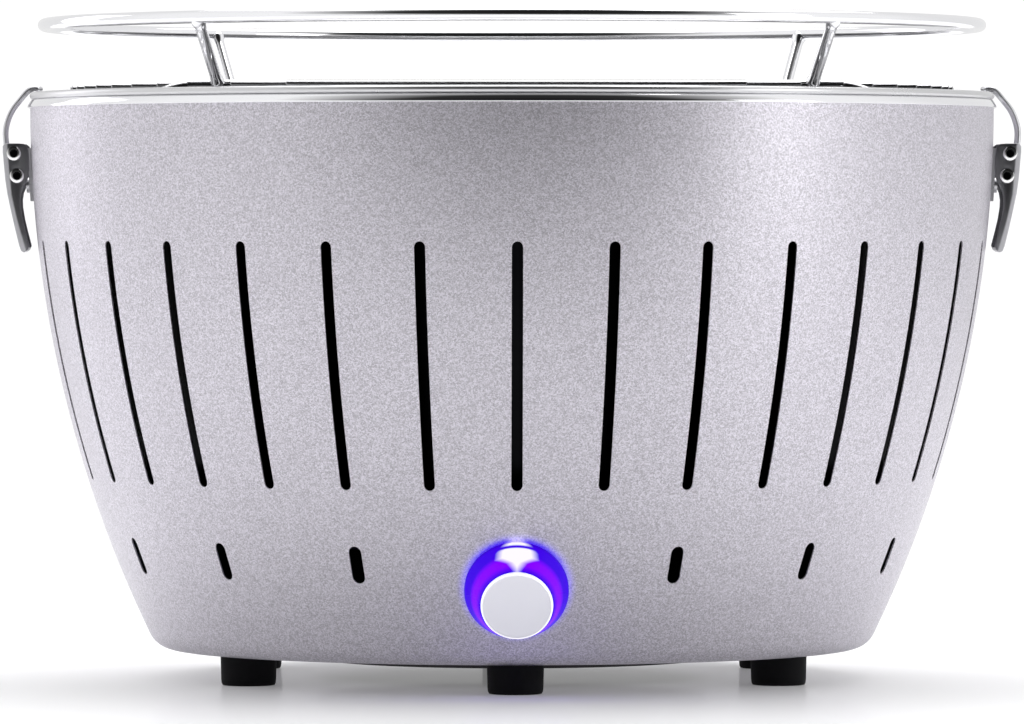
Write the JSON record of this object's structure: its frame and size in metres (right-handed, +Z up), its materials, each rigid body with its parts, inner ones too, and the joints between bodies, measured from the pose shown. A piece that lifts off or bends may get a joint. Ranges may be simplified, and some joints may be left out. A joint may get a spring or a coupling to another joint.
{
  "type": "portable tabletop grill",
  "caption": "Round double-walled tabletop charcoal grill with slotted bowl, draw latches, lift-off wire grate with guard ring, lit knob and fan under a charcoal basket.",
  "frame": {"origin": "centre of the base on the floor", "axes": "+Z up, the knob faces -Y, a latch on each side at +X and -X"},
  "size_m": [0.369, 0.351, 0.2382],
  "materials": {
    "painted_steel": "fine speckled metallic paint, semi-gloss",
    "chrome": "mirror polish",
    "stainless": "satin",
    "zinc_steel": "bright zinc",
    "black_plastic": "fine matt",
    "black_rubber": "matt",
    "violet_lens": "translucent, lit from inside",
    "silver_plastic": "satin silver",
    "cell_wrap": "printed film",
    "board_green": "solder mask",
    "grey_plastic": "moulded",
    "lead_red": "insulation"
  },
  "bodies": {
    "grill": {"outer_bowl": "painted_steel", "rim_trim": "chrome", "inner_bowl": "stainless", "fire_plate": "stainless", "foot_1": "black_rubber", "foot_2": "black_rubber", "foot_3": "black_rubber", "foot_4": "black_rubber", "foot_5": "black_rubber", "foot_6": "black_rubber", "foot_screws": "zinc_steel", "foot_nuts": "zinc_steel", "base_housing": "black_plastic", "housing_screws": "zinc_steel", "housing_deck": "black_plastic", "battery_tray": "black_plastic", "battery_cell_1": "cell_wrap", "battery_cell_2": "cell_wrap", "battery_cell_3": "cell_wrap", "battery_cell_4": "cell_wrap", "battery_contacts": "zinc_steel", "circuit_board": "board_green", "board_spacers": "zinc_steel", "board_components": "grey_plastic", "fan_housing": "black_plastic", "fan_motor": "zinc_steel", "switch_body": "black_plastic", "switch_nut": "zinc_steel", "lamp_ring": "violet_lens", "switch_lead": "lead_red", "motor_lead": "lead_red", "latch_bracket_left": "zinc_steel", "latch_bracket_right": "zinc_steel", "bracket_rivets": "zinc_steel", "latch_pivot_pins": "zinc_steel"},
    "knob": {"knob_body": "violet_lens", "knob_cap": "silver_plastic", "knob_shaft": "zinc_steel"},
    "fan": {"impeller": "grey_plastic", "motor_shaft": "zinc_steel"},
    "grate": {"grate_wires": "stainless", "support_rod_front": "stainless", "support_rod_back": "stainless", "grate_ring": "stainless", "drip_plate": "stainless", "guard_ring": "chrome", "guard_post_1": "chrome", "guard_post_2": "chrome", "guard_post_3": "chrome", "guard_post_4": "chrome"},
    "basket": {"charcoal_basket": "stainless", "basket_handle": "stainless"},
    "cover": {"battery_cover": "black_plastic", "cover_seal": "black_rubber"},
    "lever_left": {"latch_lever_left": "zinc_steel"},
    "bail_left": {"latch_bail_left": "zinc_steel", "bail_pin_left": "zinc_steel"},
    "lever_right": {"latch_lever_right": "zinc_steel"},
    "bail_right": {"latch_bail_right": "zinc_steel", "bail_pin_right": "zinc_steel"}
  },
  "joints": [
    {"name": "knob_turn", "type": "hinge", "parent": "grill", "child": "knob", "pos_m": [0, -0.14123, 0.0384], "axis": [0, 0.9246, 0.3809], "range_deg": [0, 270]},
    {"name": "fan_spin", "type": "hinge", "parent": "grill", "child": "fan", "pos_m": [0, 0, 0.054], "axis": [0, 0, 1], "continuous": true},
    {"name": "grate_lift", "type": "slide", "parent": "grill", "child": "grate", "axis": [0, 0, 1], "range_m": [0, 0.12]},
    {"name": "basket_lift", "type": "slide", "parent": "grill", "child": "basket", "axis": [0, 0, 1], "range_m": [0, 0.07]},
    {"name": "cover_turn", "type": "hinge", "parent": "grill", "child": "cover", "pos_m": [0, 0, 0.0077], "axis": [0, 0, 1], "range_deg": [0, 30]},
    {"name": "lever_left_swing", "type": "hinge", "parent": "grill", "child": "lever_left", "pos_m": [-0.18, 0, 0.1897], "axis": [0, 1, 0], "range_deg": [0, 95]},
    {"name": "bail_left_swing", "type": "hinge", "parent": "lever_left", "child": "bail_left", "pos_m": [-0.1789, 0, 0.1816], "axis": [0, 1, 0], "range_deg": [-120, 0]},
    {"name": "lever_right_swing", "type": "hinge", "parent": "grill", "child": "lever_right", "pos_m": [0.18, 0, 0.1897], "axis": [0, -1, 0], "range_deg": [0, 95]},
    {"name": "bail_right_swing", "type": "hinge", "parent": "lever_right", "child": "bail_right", "pos_m": [0.1789, 0, 0.1816], "axis": [0, -1, 0], "range_deg": [-120, 0]}
  ],
  "couplings": [
    {"joint": "bail_left_swing", "follows": "lever_left_swing", "ratio": -1.2},
    {"joint": "bail_right_swing", "follows": "lever_right_swing", "ratio": -1.2}
  ]
}
